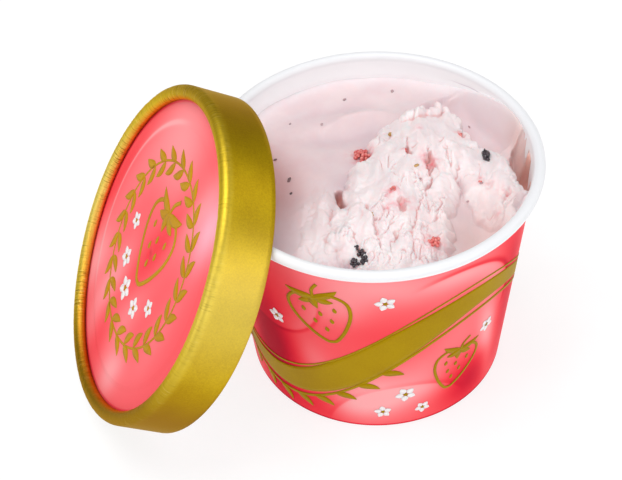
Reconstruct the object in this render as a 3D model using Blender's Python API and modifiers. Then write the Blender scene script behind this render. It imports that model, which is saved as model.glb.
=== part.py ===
"""A paper cup of scooped strawberry gelato, with its gold lid leaning against it.

Metres, +Z up. The origin is on the surface that the cup and the lid stand on, at the middle of the
whole's footprint. The cup stands towards +X and the lid leans on its rim from the -X side.
"""

import math

import bmesh
import bpy
import numpy as np
from mathutils import Matrix, Vector

MM = 0.001

# Cup: sheet and turned profile
CARD = 0.5 * MM
RIM_RADIUS = 37.5 * MM
RIM_HEIGHT = 57.5 * MM
RIM_ROLL = 1.3 * MM
FOOT_RADIUS = 30.0 * MM
FOOT_ROUND = 0.5 * MM
HEM_SLOT = 1.1 * MM
HEM_TOP = 4.6 * MM
FLOOR_TOP = 5.5 * MM
FLANGE_BOTTOM = 0.9 * MM
ROLL_END_DEG = -110.0

# Clearance between pieces that touch in the real cup
GAP = 0.3 * MM

# Lid: a gold band whose top is rolled over the raised edge of a pink panel
LID_RADIUS = 38.9 * MM
LID_HEIGHT = 12.4 * MM
LID_CARD = 0.6 * MM
LINER_CARD = 0.4 * MM
LINER_TOP = 8.9 * MM
BEAD_ROLL = 1.7 * MM
BEAD_LIP = 10.2 * MM
PANEL_TOP = 9.9 * MM
PANEL_EDGE_TOP = 11.4 * MM
STEP_RADIUS = 31.0 * MM
STEP_WIDTH = 0.9 * MM
STEP_RISE = 0.35 * MM

# How the lid leans: its face looks up and away from the cup. The distance is from the cup's axis to
# the middle of that face, where the lid just clears the rim
LID_TILT = math.radians(30.6)
LID_DISTANCE = 53.6 * MM
LID_SIDE_STEP = 1.7 * MM

# Gelato: its level, and how its scooped ridges run (turned from +Y towards +X)
FILL_LEVEL = 51.4 * MM
GELATO_CELLS = 40
RIDGE_TURN = math.radians(22.0)
RIDGE_SPACING = 5.0 * MM
RIDGE_LENGTH = 16.0 * MM
RIDGE_RISE = 1.8 * MM
FINE_RIDGES = 0.55
EDGE_RAGGED = 1.6 * MM
EDGE_GRAIN = 3.5 * MM
LATTICE = 64

# Scooped lobes: middle x, middle y, half length, half width, turn in degrees, rise over the fill
LOBES = {
    "front": (-1.5, -20.5, 15.0, 13.2, 20.0, 4.2),
    "middle": (4.0, -8.0, 15.0, 12.6, 22.0, 5.0),
    "back": (12.5, 3.5, 12.5, 12.5, 30.0, 5.0),
    "crumb": (19.0, 12.0, 5.5, 5.0, 60.0, 3.2),
    "side": (23.4, -10.8, 12.6, 6.3, 5.0, 3.9),
}
# Height at which a lobe's ridges are full, and how much of the hollow below a full lobe it fills
LOBE_FULL = 2.4 * MM
LOBE_FILLS = 0.85
# Hollows with a sharp edge, with a depth last: where the scoop cut, and a gap beside the wall
SCOOPED_CORNER = (24.5, 9.6, 11.2, 10.6, 118.0, 5.4)
WALL_CREVICE = (32.0, -6.8, 8.0, 2.1, 12.0, 7.0)
# Soft rises, and soft dips with a rise below zero
SWELLS = {
    "skirt": (-15.0, -14.0, 13.0, 6.5, 14.0, 1.7),
    "crest": (2.0, 19.8, 11.0, 2.8, 92.0, 1.5),
    "dip before crest": (-4.0, 14.2, 11.0, 3.4, 96.0, -1.2),
    "back trough": (1.0, 24.2, 17.0, 2.6, 92.0, -0.9),
    "channel": (17.5, -24.0, 11.0, 5.0, 8.0, -3.2),
    "left dip": (-24.0, 2.0, 10.0, 7.0, 10.0, -0.9),
}
# Gelato smeared up the cup's wall, seen in plan by its direction from the axis
FILM_RISE = 5.0 * MM
FILM_WIDTH = 1.3 * MM
FILM_MIDDLE = math.radians(11.0)
FILM_SPREAD = math.radians(27.0)

# Bits in the gelato: x, y, half sizes along, across and up, turn in degrees
CHIPS = {
    "chip": (24.9, -2.9, 2.2, 1.0, 1.3, 10.0),
    "cluster_a": (-12.0, -27.0, 1.2, 1.1, 1.1, 0.0),
    "cluster_b": (-9.9, -27.4, 1.2, 1.2, 1.2, 0.0),
    "cluster_c": (-10.3, -25.3, 1.5, 1.0, 1.1, -20.0),
    "fruit_a": (-1.7, 4.6, 1.7, 2.0, 1.2, 30.0),
    "fruit_b": (6.2, -26.1, 1.3, 1.8, 1.2, 0.0),
    "fruit_c": (21.9, 6.5, 1.1, 0.6, 0.7, 40.0),
    "fruit_d": (8.6, 5.7, 0.9, 0.6, 0.7, 0.0),
    "fruit_e": (21.4, -10.6, 0.8, 0.9, 0.6, 0.0),
}
CHIP_LUMPS = 0.25
CHIP_WAVES = 5.0

SEGMENTS = 72
BEAD_STEPS = 4
ROLL_STEPS = 10


def wall_inner(z):
    """Radius of the cup wall's inner face at height z."""
    roll_z = RIM_HEIGHT - RIM_ROLL
    top, bottom = RIM_RADIUS - 2 * RIM_ROLL, FOOT_RADIUS - CARD
    return bottom + (top - bottom) * z / roll_z


LID_CENTRE_HEIGHT = LID_HEIGHT * math.sin(LID_TILT) + LID_RADIUS * math.cos(LID_TILT)
LID_LEFT = (
    LID_DISTANCE
    - BEAD_ROLL * math.cos(LID_TILT)
    + (LID_RADIUS - BEAD_ROLL) * math.sin(LID_TILT)
    + BEAD_ROLL
)
CUP_X = (LID_LEFT - RIM_RADIUS) / 2
CUP_Y = -(LID_SIDE_STEP + LID_RADIUS - RIM_RADIUS) / 2


def material(name, colour, roughness, metallic=0.0):
    made = bpy.data.materials.new(name)
    made.use_nodes = True
    shader = made.node_tree.nodes["Principled BSDF"]
    shader.inputs["Base Color"].default_value = (*colour, 1.0)
    shader.inputs["Roughness"].default_value = roughness
    shader.inputs["Metallic"].default_value = metallic
    return made


def arc(centre, radius, start_deg, end_deg, steps):
    """Points of an arc in the profile plane, both ends included."""
    angles = np.radians(np.linspace(start_deg, end_deg, steps + 1))
    return [(centre[0] + radius * math.cos(a), centre[1] + radius * math.sin(a)) for a in angles]


def turned(name, profile, closed, finish, parent, collection):
    """A solid turned about the parent's Z from a profile of (radius, height) points."""
    count = len(profile)
    edges = [(i, i + 1) for i in range(count - 1)]
    if closed:
        edges.append((count - 1, 0))
    mesh = bpy.data.meshes.new(name)
    mesh.from_pydata([(r, 0.0, z) for r, z in profile], edges, [])
    mesh.materials.append(finish)
    made = bpy.data.objects.new(name, mesh)
    collection.objects.link(made)
    made.parent = parent
    screw = made.modifiers.new("turn", "SCREW")
    screw.axis = "Z"
    screw.steps = screw.render_steps = SEGMENTS
    screw.use_merge_vertices = True
    screw.merge_threshold = 0.00001
    screw.use_smooth_shade = True
    return made


def cup_wall(parent, collection, finish):
    """The side sheet: rolled outward at the rim, folded inward and up as a hem at the foot."""
    roll = (RIM_RADIUS - RIM_ROLL, RIM_HEIGHT - RIM_ROLL)
    hem_outer = FOOT_RADIUS - CARD - HEM_SLOT
    hem_inner = hem_outer - CARD
    profile = arc(roll, RIM_ROLL, 180, ROLL_END_DEG, ROLL_STEPS)
    profile += arc(roll, RIM_ROLL - CARD, ROLL_END_DEG, 180, ROLL_STEPS - 2)
    profile += arc((FOOT_RADIUS - FOOT_ROUND, FOOT_ROUND), FOOT_ROUND, 0, -90, 2)
    profile += arc((hem_inner + FOOT_ROUND, FOOT_ROUND), FOOT_ROUND, -90, -180, 2)
    profile += [
        (hem_inner, HEM_TOP),
        (hem_outer, HEM_TOP),
        (hem_outer, CARD),
        (FOOT_RADIUS - CARD, CARD),
    ]
    return turned("cup_wall", profile, True, finish, parent, collection)


def cup_floor(parent, collection, finish):
    """The bottom disc, with its edge turned down into the hem."""
    edge = FOOT_RADIUS - CARD - GAP
    profile = [
        (0.0, FLOOR_TOP),
        (edge, FLOOR_TOP),
        (edge, FLANGE_BOTTOM),
        (edge - CARD, FLANGE_BOTTOM),
        (edge - CARD, FLOOR_TOP - CARD),
        (0.0, FLOOR_TOP - CARD),
    ]
    return turned("cup_floor", profile, False, finish, parent, collection)


def lid_band(parent, collection, finish):
    """The band: two plies below the panel, the outer one rolled inward over the panel's edge."""
    bead = (LID_RADIUS - BEAD_ROLL, LID_HEIGHT - BEAD_ROLL)
    inside = LID_RADIUS - LID_CARD
    lip = LID_RADIUS - 2 * BEAD_ROLL
    profile = arc(bead, BEAD_ROLL, 180, 0, 2 * BEAD_STEPS)
    profile += [
        (LID_RADIUS, 0.0),
        (inside - LINER_CARD, 0.0),
        (inside - LINER_CARD, LINER_TOP),
        (inside, LINER_TOP),
    ]
    profile += arc(bead, BEAD_ROLL - LID_CARD, 0, 180, 2 * BEAD_STEPS - 2)
    profile += [(lip + LID_CARD, BEAD_LIP), (lip, BEAD_LIP)]
    return turned("lid_band", profile, True, finish, parent, collection)


def lid_panel(parent, collection, finish):
    """The pink panel: a shallow embossed step, and an edge turned up inside the band's roll."""
    edge = LID_RADIUS - LID_CARD - GAP
    profile = [
        (0.0, PANEL_TOP + STEP_RISE),
        (STEP_RADIUS - STEP_WIDTH, PANEL_TOP + STEP_RISE),
        (STEP_RADIUS, PANEL_TOP),
        (edge - LID_CARD, PANEL_TOP),
        (edge - LID_CARD, PANEL_EDGE_TOP),
        (edge, PANEL_EDGE_TOP),
        (edge, PANEL_TOP - LID_CARD),
        (STEP_RADIUS, PANEL_TOP - LID_CARD),
        (STEP_RADIUS - STEP_WIDTH, PANEL_TOP - LID_CARD + STEP_RISE),
        (0.0, PANEL_TOP - LID_CARD + STEP_RISE),
    ]
    return turned("lid_panel", profile, False, finish, parent, collection)


def grain(x, y, seed):
    """Smooth gradient noise between about -0.7 and 0.7, one lump to each unit of x and y."""
    turns = np.random.default_rng(seed).random((LATTICE, LATTICE)) * 2 * math.pi
    column, row = np.floor(x).astype(int), np.floor(y).astype(int)
    across, along = x - column, y - row

    def corner(step_x, step_y):
        turn = turns[(column + step_x) % LATTICE, (row + step_y) % LATTICE]
        return np.cos(turn) * (across - step_x) + np.sin(turn) * (along - step_y)

    fade_x = across**3 * (across * (across * 6 - 15) + 10)
    fade_y = along**3 * (along * (along * 6 - 15) + 10)
    near = corner(0, 0) * (1 - fade_x) + corner(1, 0) * fade_x
    far = corner(0, 1) * (1 - fade_x) + corner(1, 1) * fade_x
    return near * (1 - fade_y) + far * fade_y


def reach_of(x, y, spot):
    """How far points are from the middle of a spot given in millimetres: 1 at its edge, squared."""
    centre_x, centre_y, length, width, turn_deg, _ = spot
    turn = math.radians(turn_deg)
    dx, dy = x - centre_x * MM, y - centre_y * MM
    along = dx * math.sin(turn) + dy * math.cos(turn)
    across = dx * math.cos(turn) - dy * math.sin(turn)
    return (along / (length * MM)) ** 2 + (across / (width * MM)) ** 2


def dome(x, y, spot):
    """Height of a dome with a sharp foot."""
    return spot[-1] * MM * np.sqrt(np.clip(1 - reach_of(x, y, spot), 0.0, 1.0))


def swell(x, y, spot):
    """Height of a rise that fades out softly."""
    return spot[-1] * MM * np.exp(-reach_of(x, y, spot))


def gelato_height(x, y):
    """Height of the gelato's face at plan points measured from the cup's axis."""
    ragged_x = x + EDGE_RAGGED * grain(x / EDGE_GRAIN, y / EDGE_GRAIN, 1)
    ragged_y = y + EDGE_RAGGED * grain(x / EDGE_GRAIN, y / EDGE_GRAIN, 2)
    lobes = [dome(ragged_x, ragged_y, spot) for spot in LOBES.values()]
    heap = sum(lobe**4 for lobe in lobes) ** 0.25
    cover = np.clip(heap / LOBE_FULL, 0.0, 1.0)
    along = (x * math.sin(RIDGE_TURN) + y * math.cos(RIDGE_TURN)) / RIDGE_LENGTH
    across = (x * math.cos(RIDGE_TURN) - y * math.sin(RIDGE_TURN)) / RIDGE_SPACING
    ridges = grain(across, along, 3) + FINE_RIDGES * grain(across * 2, along * 2, 4)
    edge = wall_inner(FILL_LEVEL) - GAP - np.hypot(x, y)
    turn_off = (np.arctan2(y, x) - FILM_MIDDLE) / FILM_SPREAD
    film = FILM_RISE * np.exp(-((edge / FILM_WIDTH) ** 2) - turn_off**2)
    soft = sum(swell(x, y, spot) for spot in SWELLS.values())
    hollow = dome(x, y, SCOOPED_CORNER) * (1 - LOBE_FILLS * cover)
    bare = soft + film * (1 - cover) - hollow
    return FILL_LEVEL + bare + heap + cover * RIDGE_RISE * ridges - dome(x, y, WALL_CREVICE)


def disc_grid(cells):
    """Points of a square grid wrapped onto a unit disc."""
    step = np.linspace(-1.0, 1.0, cells + 1)
    u, v = np.meshgrid(step, step, indexing="ij")
    wide = np.abs(u) >= np.abs(v)
    reach = np.where(wide, u, v)
    turn = np.where(wide, v, u) / np.where(reach == 0.0, 1.0, reach) * math.pi / 4
    x = reach * np.where(wide, np.cos(turn), np.sin(turn))
    y = reach * np.where(wide, np.sin(turn), np.cos(turn))
    return x.ravel(), y.ravel()


def filling(parent, collection, finish):
    """The gelato: a scooped face over a body that follows the cup's inside."""
    unit_x, unit_y = disc_grid(GELATO_CELLS)
    level = wall_inner(FILL_LEVEL) - GAP
    height = gelato_height(unit_x * level, unit_y * level)
    reach = wall_inner(height) - GAP
    row = GELATO_CELLS + 1
    shape = bmesh.new()
    top = [shape.verts.new(p) for p in zip(unit_x * reach, unit_y * reach, height)]
    for i in range(GELATO_CELLS):
        for j in range(GELATO_CELLS):
            a, b = i * row + j, (i + 1) * row + j
            shape.faces.new((top[a], top[b], top[b + 1], top[a + 1]))
    loop = [i * row for i in range(row)]
    loop += [GELATO_CELLS * row + j for j in range(1, row)]
    loop += [i * row + GELATO_CELLS for i in range(GELATO_CELLS - 1, -1, -1)]
    loop += [j for j in range(GELATO_CELLS - 1, 0, -1)]
    base_z = FLOOR_TOP + GAP
    base_r = wall_inner(base_z) - GAP
    foot = [shape.verts.new((unit_x[k] * base_r, unit_y[k] * base_r, base_z)) for k in loop]
    for k, low in enumerate(foot):
        after = (k + 1) % len(foot)
        shape.faces.new((top[loop[k]], low, foot[after], top[loop[after]]))
    shape.faces.new(reversed(foot))
    bmesh.ops.recalc_face_normals(shape, faces=shape.faces)
    mesh = bpy.data.meshes.new("gelato")
    shape.to_mesh(mesh)
    shape.free()
    mesh.materials.append(finish)
    mesh.shade_smooth()
    made = bpy.data.objects.new("gelato", mesh)
    collection.objects.link(made)
    made.parent = parent
    return made


def chips(parent, finish):
    """Chocolate and fruit bits, each a small lumpy ball half sunk in the gelato."""
    group = bpy.data.collections.new("bits")
    bpy.context.scene.collection.children.link(group)
    for name, (x, y, length, width, rise, turn_deg) in CHIPS.items():
        spot = np.array([x * MM]), np.array([y * MM])
        shape = bmesh.new()
        bmesh.ops.create_icosphere(shape, subdivisions=2, radius=1.0)
        for corner in shape.verts:
            corner.co *= 1 + CHIP_LUMPS * math.sin(CHIP_WAVES * corner.co.x + x) * corner.co.y
        turn = Matrix.Rotation(-math.radians(turn_deg), 4, "Z")
        size = Matrix.Diagonal((width * MM, length * MM, rise * MM, 1.0))
        place = Matrix.Translation((x * MM, y * MM, gelato_height(*spot)[0]))
        shape.transform(place @ turn @ size)
        mesh = bpy.data.meshes.new(name)
        shape.to_mesh(mesh)
        shape.free()
        mesh.materials.append(finish)
        made = bpy.data.objects.new(name, mesh)
        made.parent = parent
        made.hide_render = True
        group.objects.link(made)
    return group


def fuse(body, group):
    """Join every object of the group into the body, and remove the group."""
    union = body.modifiers.new("union", "BOOLEAN")
    union.operation = "UNION"
    union.operand_type = "COLLECTION"
    union.collection = group
    union.solver = "EXACT"
    bpy.context.view_layer.update()
    scene_graph = bpy.context.evaluated_depsgraph_get()
    joined = bpy.data.meshes.new_from_object(body.evaluated_get(scene_graph))
    body.modifiers.remove(union)
    body.data = joined
    for bit in list(group.objects):
        bpy.data.objects.remove(bit)
    bpy.data.collections.remove(group)


def main():
    for old in list(bpy.data.objects):
        bpy.data.objects.remove(old)
    parts = bpy.data.collections.new("gelato_cup")
    bpy.context.scene.collection.children.link(parts)

    cup = bpy.data.objects.new("cup_axis", None)
    cup.location = (CUP_X, CUP_Y, 0.0)
    parts.objects.link(cup)

    lid = bpy.data.objects.new("lid_lean", None)
    lid.rotation_euler = (0.0, LID_TILT - math.pi / 2, 0.0)
    face = Vector((-math.cos(LID_TILT), 0.0, math.sin(LID_TILT)))
    centre = Vector((CUP_X - LID_DISTANCE, CUP_Y + LID_SIDE_STEP, LID_CENTRE_HEIGHT))
    lid.location = centre - LID_HEIGHT * face
    parts.objects.link(lid)

    print_pink = material("printed_card", (0.84, 0.16, 0.20), 0.35)
    white = material("white_card", (0.86, 0.86, 0.87), 0.45)
    gold = material("gold_card", (0.55, 0.40, 0.03), 0.38, 0.6)
    cream = material("strawberry_gelato", (0.86, 0.66, 0.68), 0.55)

    cup_wall(cup, parts, print_pink)
    cup_floor(cup, parts, white)
    fuse(filling(cup, parts, cream), chips(cup, cream))
    lid_band(lid, parts, gold)
    lid_panel(lid, parts, print_pink)


main()
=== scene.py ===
import functools
import math

import bmesh
import bpy
import numpy as np
from mathutils import Matrix, Vector, noise


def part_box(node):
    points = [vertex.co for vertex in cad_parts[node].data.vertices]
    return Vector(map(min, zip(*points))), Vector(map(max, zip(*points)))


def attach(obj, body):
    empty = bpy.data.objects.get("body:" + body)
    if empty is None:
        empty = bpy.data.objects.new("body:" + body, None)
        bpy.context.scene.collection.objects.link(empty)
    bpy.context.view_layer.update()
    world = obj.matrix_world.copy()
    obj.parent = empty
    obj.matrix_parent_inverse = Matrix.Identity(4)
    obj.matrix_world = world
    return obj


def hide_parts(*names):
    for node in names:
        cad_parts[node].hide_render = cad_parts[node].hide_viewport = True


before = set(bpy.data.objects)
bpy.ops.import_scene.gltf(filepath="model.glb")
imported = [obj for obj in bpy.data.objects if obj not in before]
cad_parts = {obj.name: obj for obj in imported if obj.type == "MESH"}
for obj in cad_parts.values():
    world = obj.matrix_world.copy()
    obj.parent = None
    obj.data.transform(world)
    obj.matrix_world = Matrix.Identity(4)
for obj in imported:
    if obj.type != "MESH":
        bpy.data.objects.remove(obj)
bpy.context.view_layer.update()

MM = 0.001

# Sizes that the part's source also uses
CARD = 0.5 * MM
RIM_RADIUS = 37.5 * MM
RIM_HEIGHT = 57.5 * MM
RIM_ROLL = 1.3 * MM
FOOT_RADIUS = 30.0 * MM
FOOT_ROUND = 0.5 * MM
HEM_SLOT = 1.1 * MM
HEM_TOP = 4.6 * MM
ROLL_END_DEG = -110.0
LID_RADIUS = 38.9 * MM
LID_HEIGHT = 12.4 * MM
LID_CARD = 0.6 * MM
LID_BEVEL = 0.15 * MM
LINER_CARD = 0.4 * MM
LINER_TOP = 8.9 * MM
BEAD_ROLL = 1.7 * MM
BEAD_LIP = 10.2 * MM
PANEL_TOP = 9.9 * MM
STEP_RADIUS = 31.0 * MM
STEP_WIDTH = 0.9 * MM
STEP_RISE = 0.35 * MM
LID_TILT = math.radians(30.6)
LID_DISTANCE = 53.6 * MM
LID_SIDE_STEP = 1.7 * MM
FILL_LEVEL = 51.4 * MM
RIDGE_TURN = math.radians(22.0)
EDGE_RAGGED = 1.6 * MM
EDGE_GRAIN = 3.5 * MM
FINE_RAGGED = 0.5 * MM
FINE_GRAIN = 1.1 * MM
LATTICE = 64
CUP_TURNS = 288
RIM_TURNS = 720
PANEL_TURNS = 240
BEAD = (LID_RADIUS - BEAD_ROLL, LID_HEIGHT - BEAD_ROLL)
CRIMP_DEPTH = 0.16 * MM
# The band's profile points that lie on its outside, counted from the bead's start
OUTER_POINTS = 40
GELATO_CELLS = 312
GELATO_GAP = 0.01 * MM
SEAM_WIDTH = 6.0 * MM
SEAM_TURN = math.pi / 2 - SEAM_WIDTH / 2 / FOOT_RADIUS
SEAM_RISE = 0.22 * MM
# The look's turned pieces are drawn this much smaller, to stay inside the CAD's box
INSET = 0.9997
# Lobes of the heap: middle x, middle y, half length, half width, turn in degrees, height
LOBES = {
    "front": (-1.5, -20.5, 15, 13.2, 20, 4.2),
    "middle": (4, -8, 15, 12.6, 22, 5),
    "back": (12.5, 3.5, 12.5, 12.5, 30, 5),
    "crumb": (19, 12, 5.5, 5, 60, 3.2),
    "side": (23.4, -10.8, 12.6, 6.3, 5, 3.9),
}
# Hollows with a sharp edge, with a depth last: where the scoop cut, and a gap beside the wall
SCOOPED_CORNER = (24.5, 9.6, 11.2, 10.6, 118, 5.4)
SCOOPED_BOWL = (20.6, 14.6, 6.6, 6.8, 0, 2.6)
WALL_CREVICE = (32, -6.8, 8, 2.1, 12, 7)
# The edge of a soft fold in the smooth part, seen in plan
FOLD_EDGE = [(-12.6, 9), (-10.8, 13.4), (-7.6, 18.6), (-1.5, 20.9), (4.3, 20.9), (11.5, 18)]
# The far edge of the scooped corner, seen in plan
SCOOP_EDGE = [(15.6, 18.4), (18.4, 19.8), (21.4, 20.8), (25.1, 21.4), (28.6, 20.4)]
# Soft-edged lumps of the scraped skirt beside the heap
SKIRT_LUMPS = [
    (-13.8, -9, 6, 2.6, 12, 0.6), (-16.6, -15, 5.5, 3, 16, 0.65), (-15.8, -23, 5.6, 3.2, 24, 0.8),
    (-20.6, -21, 3.6, 2.4, 10, 0.4),
]
# Soft rises and dips: the same numbers, with a height below 0 for a dip
SWELLS = {
    "skirt": (-15, -14, 13, 6.5, 14, 1.7),
    "crest": (2, 19.8, 11, 2.8, 92, 1.5),
    "dip before crest": (-4, 14.2, 11, 3.4, 96, -1.2),
    "back trough": (1, 24.2, 17, 2.6, 92, -0.9),
    "channel": (17.5, -24, 11, 5, 8, -3.2),
    "left dip": (-24, 2, 10, 7, 10, -0.9),
}
# Torn pits: middle x, middle y, half length, half width, turn in degrees, depth
PITS = [
    (-9.2, -6.6, 3.6, 0.9, 6, 3.8), (2, -15.2, 2.9, 1.1, 12, 1.2), (11.4, -3.6, 2.8, 0.9, 6, 1.3),
    (8, 0.6, 1.2, 0.6, 20, 1), (21.5, 5.2, 1.3, 0.8, 30, 0.8), (-1.6, -22.6, 1.4, 0.5, 20, 0.8),
    (24.9, -16.4, 2, 0.7, 30, 0.6),
]
# Folded petals of gelato at the far side of the heap, as the pits but with a rise last
PETALS = [
    (12.6, 13.8, 3.4, 2.4, 60, 2), (17.4, 15.4, 3, 2, 80, 2), (21, 16.4, 2.6, 1.5, 100, 1.4),
]
# Torn creases, seen in plan: the path, its depth, and how high the lip on its right is (left if below 0)
TEARS = [
    ([(12.1, -0.5), (10.7, -3.8), (10.5, -6.8), (10.1, -9.7), (8.6, -10.8), (7.8, -12.6)], 0.9, 0.6),
    ([(16.4, 0.5), (15.9, -2.6), (15.5, -4.9)], 0.5, 0.5),
    ([(17.3, -5.3), (16.3, -7.3), (16, -9.5)], 0.5, 0.5),
    ([(4.5, 7.7), (7, 7), (8.5, 5.9), (8.1, 1.8), (7, -0.3)], 0.6, 0.5),
    ([(3.6, -2.6), (2.6, -5.1), (3.2, -8.6), (2.2, -11.2)], 0.5, 0.3),
    ([(-5.5, -12.6), (-4.6, -16.2), (-5.2, -19.9), (-5.3, -22.5), (-5.5, -25.1)], 0.8, 0.6),
    ([(-10.2, -19.2), (-10, -22.2), (-10, -24.7)], 0.6, 0.4),
    ([(10.1, -9.7), (8, -11.1), (6.4, -14.7), (5, -17.4), (3.6, -20.5), (2.4, -23.4)], 0.7, -0.5),
    ([(11.5, -13.9), (10, -17.4), (8.3, -19.9), (7, -21)], 0.6, -0.4),
    ([(0.3, -20.9), (-1, -23.3), (-2.6, -24.4)], 0.6, 0.3),
    ([(22, -6), (21.4, -10), (22.6, -13.6)], 0.3, -0.3),
]
# Juice round the fruit: x, y, reach, and how strong
STAINS = [
    (-1.2, 6.6, 2.5, 0.7), (5.7, -27.5, 2.2, 0.65), (21.5, 5.2, 1.3, 0.5), (7.3, 1.2, 0.9, 0.5),
    (1.2, -11.2, 1.3, 0.6), (-0.6, -11.6, 1.1, 0.3), (-1.5, -16, 0.9, 0.4), (2, -15.2, 2.4, 0.5),
    (11.4, -3.8, 2.3, 0.55), (12, 6.4, 0.9, 0.4), (20.6, -10.9, 1.4, 0.3), (22.2, -13, 1, 0.3),
    (24.8, -16.2, 1.8, 0.3), (22, -20.4, 1.2, 0.2),
]
# The artwork's shapes, in millimetres: how far they stand out, and the cup's radius they are drawn for
ART_RISE = 0.06
ART_STEP = 0.006
ART_LAYERS = 7
ART_RADIUS = 33.0
# The raised smear of gelato on the wall
FILM_RISE = 5.0 * MM
FILM_WIDTH = 1.3 * MM
FILM_MIDDLE = math.radians(11.0)
FILM_SPREAD = math.radians(27.0)

FLOOR_HALF = 3.0

# Where the cup's axis is, and how the lid stands
low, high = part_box("cup_wall")
AXIS = Vector(((low.x + high.x) / 2, (low.y + high.y) / 2, 0.0))
face = Vector((-math.cos(LID_TILT), 0.0, math.sin(LID_TILT)))
lid_middle = AXIS + Vector(
    (
        -LID_DISTANCE,
        LID_SIDE_STEP,
        LID_HEIGHT * math.sin(LID_TILT) + LID_RADIUS * math.cos(LID_TILT),
    )
)
TO_LID = Matrix.Translation(lid_middle - LID_HEIGHT * face) @ Matrix.Rotation(
    LID_TILT - math.pi / 2, 4, "Y"
)
TO_CUP = Matrix.Translation(AXIS)

scene = bpy.context.scene
parts = bpy.data.collections.new("gelato_cup_look")
scene.collection.children.link(parts)


# Camera, floor and light

LIT_SPOT = Vector((0.0, 0.0, 0.04))


def placed(name, data, group):
    """A new object in a collection."""
    made = bpy.data.objects.new(name, data)
    group.objects.link(made)
    return made


camera_data = bpy.data.cameras.new("camera")
camera_data.sensor_width = 36.0
camera_data.lens = 90.845
camera_data.clip_start = 0.01
camera_data.clip_end = 20.0
camera = placed("camera", camera_data, scene.collection)
CAMERA_PLACE = Vector((-65.337, -250.781, 285.937)) * MM + AXIS
CAMERA_RIGHT = Vector((0.97211, -0.23162, -0.03695))
CAMERA_DOWN = Vector((-0.18807, -0.67561, -0.71287))
CAMERA_AHEAD = Vector((0.14015, 0.69993, -0.70032))
turn = Matrix((CAMERA_RIGHT, -CAMERA_DOWN, -CAMERA_AHEAD)).transposed()
camera.matrix_world = Matrix.Translation(CAMERA_PLACE) @ turn.to_4x4()
scene.camera = camera

scene.view_settings.view_transform = "Standard"
scene.world = bpy.data.worlds.new("studio")
scene.world.use_nodes = True
background = scene.world.node_tree.nodes["Background"].inputs
background["Color"].default_value = (0.97, 0.98, 1, 1)
background["Strength"].default_value = 0.36


def soft_light(name, place, size, power):
    """A rectangular lamp that faces the part."""
    data = bpy.data.lights.new(name, "AREA")
    data.shape = "RECTANGLE"
    data.size, data.size_y = size
    data.energy = power
    lamp = placed(name, data, scene.collection)
    lamp.location = place
    lamp.rotation_euler = (LIT_SPOT - lamp.location).to_track_quat("-Z", "Y").to_euler()


LIGHTS = [
    ("key", (-0.16, 0.02, 0.85), (0.5, 0.5), 3.6),
    ("front", (0.05, -0.88, 0.45), (0.6, 0.4), 1.5),
    ("front_right", (0.66, -0.62, 0.32), (0.7, 0.4), 1.6),
    ("right", (0.85, 0.06, 0.6), (0.5, 0.4), 0.75),
    ("left", (-0.85, -0.3, 0.5), (0.8, 0.7), 2.2),
]
for light in LIGHTS:
    soft_light(*light)


# Node trees

class Tree:
    """A material's node tree, with short calls for the nodes used here."""

    def __init__(self, name):
        self.material = bpy.data.materials.new(name)
        self.material.use_nodes = True
        self.tree = self.material.node_tree
        self.shader = self.tree.nodes["Principled BSDF"]

    def node(self, kind, inputs=(), **settings):
        made = self.tree.nodes.new("ShaderNode" + kind)
        for key, value in settings.items():
            setattr(made, key, value)
        for key, value in dict(inputs).items():
            self.put(made.inputs[key], value)
        return made

    def put(self, socket, value):
        if isinstance(value, bpy.types.NodeSocket):
            self.tree.links.new(value, socket)
        elif isinstance(value, tuple) and socket.type == "RGBA" and len(value) == 3:
            socket.default_value = (*value, 1.0)
        else:
            socket.default_value = value

    def math(self, operation, *values):
        return self.node("Math", enumerate(values), operation=operation).outputs[0]

    def add(self, *values):
        return functools.reduce(functools.partial(self.math, "ADD"), values)

    def sub(self, a, b):
        return self.math("SUBTRACT", a, b)

    def mul(self, *values):
        return functools.reduce(functools.partial(self.math, "MULTIPLY"), values)

    def length(self, a, b):
        return self.math("SQRT", self.add(self.mul(a, a), self.mul(b, b)))

    def share(self, value, middle, reach):
        """How far the value is from the middle, as a share of the reach."""
        return self.mul(self.sub(value, middle), 1 / reach)

    def bell(self, *offsets):
        """1 where the offsets are 0, falling smoothly to 0 as they grow."""
        squares = [self.mul(off, off) for off in offsets]
        return self.math("EXPONENT", self.mul(self.add(*squares), -1.0))

    def along(self, a, b, turn_deg):
        """How far the point (a, b) is out in the given direction."""
        turn_ = math.radians(turn_deg)
        return self.add(self.mul(a, math.cos(turn_)), self.mul(b, math.sin(turn_)))

    def ramp(self, value, start, end, low=0.0, high=1.0):
        """Smooth step of value from start to end, between low and high."""
        inputs = enumerate((value, start, end, low, high))
        return self.node("MapRange", inputs, interpolation_type="SMOOTHSTEP").outputs[0]

    def noise(self, vector, scale, detail=2.0, rough=0.5):
        inputs = {"Vector": vector, "Scale": scale, "Detail": detail, "Roughness": rough}
        return self.node("TexNoise", inputs).outputs["Fac"]

    def place(self):
        return self.node("TexCoord").outputs["Object"]

    def split(self, vector):
        return self.node("SeparateXYZ", {"Vector": vector}).outputs

    def join(self, x, y, z):
        return self.node("CombineXYZ", {"X": x, "Y": y, "Z": z}).outputs[0]

    def blend(self, factor, a, b):
        return self.node("Mix", {0: factor, 6: a, 7: b}, data_type="RGBA").outputs[2]

    def mottle(self, value, a, b):
        """Patches of two colours, from a noise value."""
        return self.blend(self.ramp(value, 0.3, 0.7), a, b)

    def attribute(self, name):
        return self.node("Attribute", attribute_name=name).outputs["Fac"]

    def bump(self, height, distance, strength=1.0):
        inputs = {"Height": height, "Distance": distance, "Strength": strength}
        self.set(Normal=self.node("Bump", inputs).outputs[0])

    def set(self, **values):
        for key, value in values.items():
            self.put(self.shader.inputs[key.replace("_", " ")], value)


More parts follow.
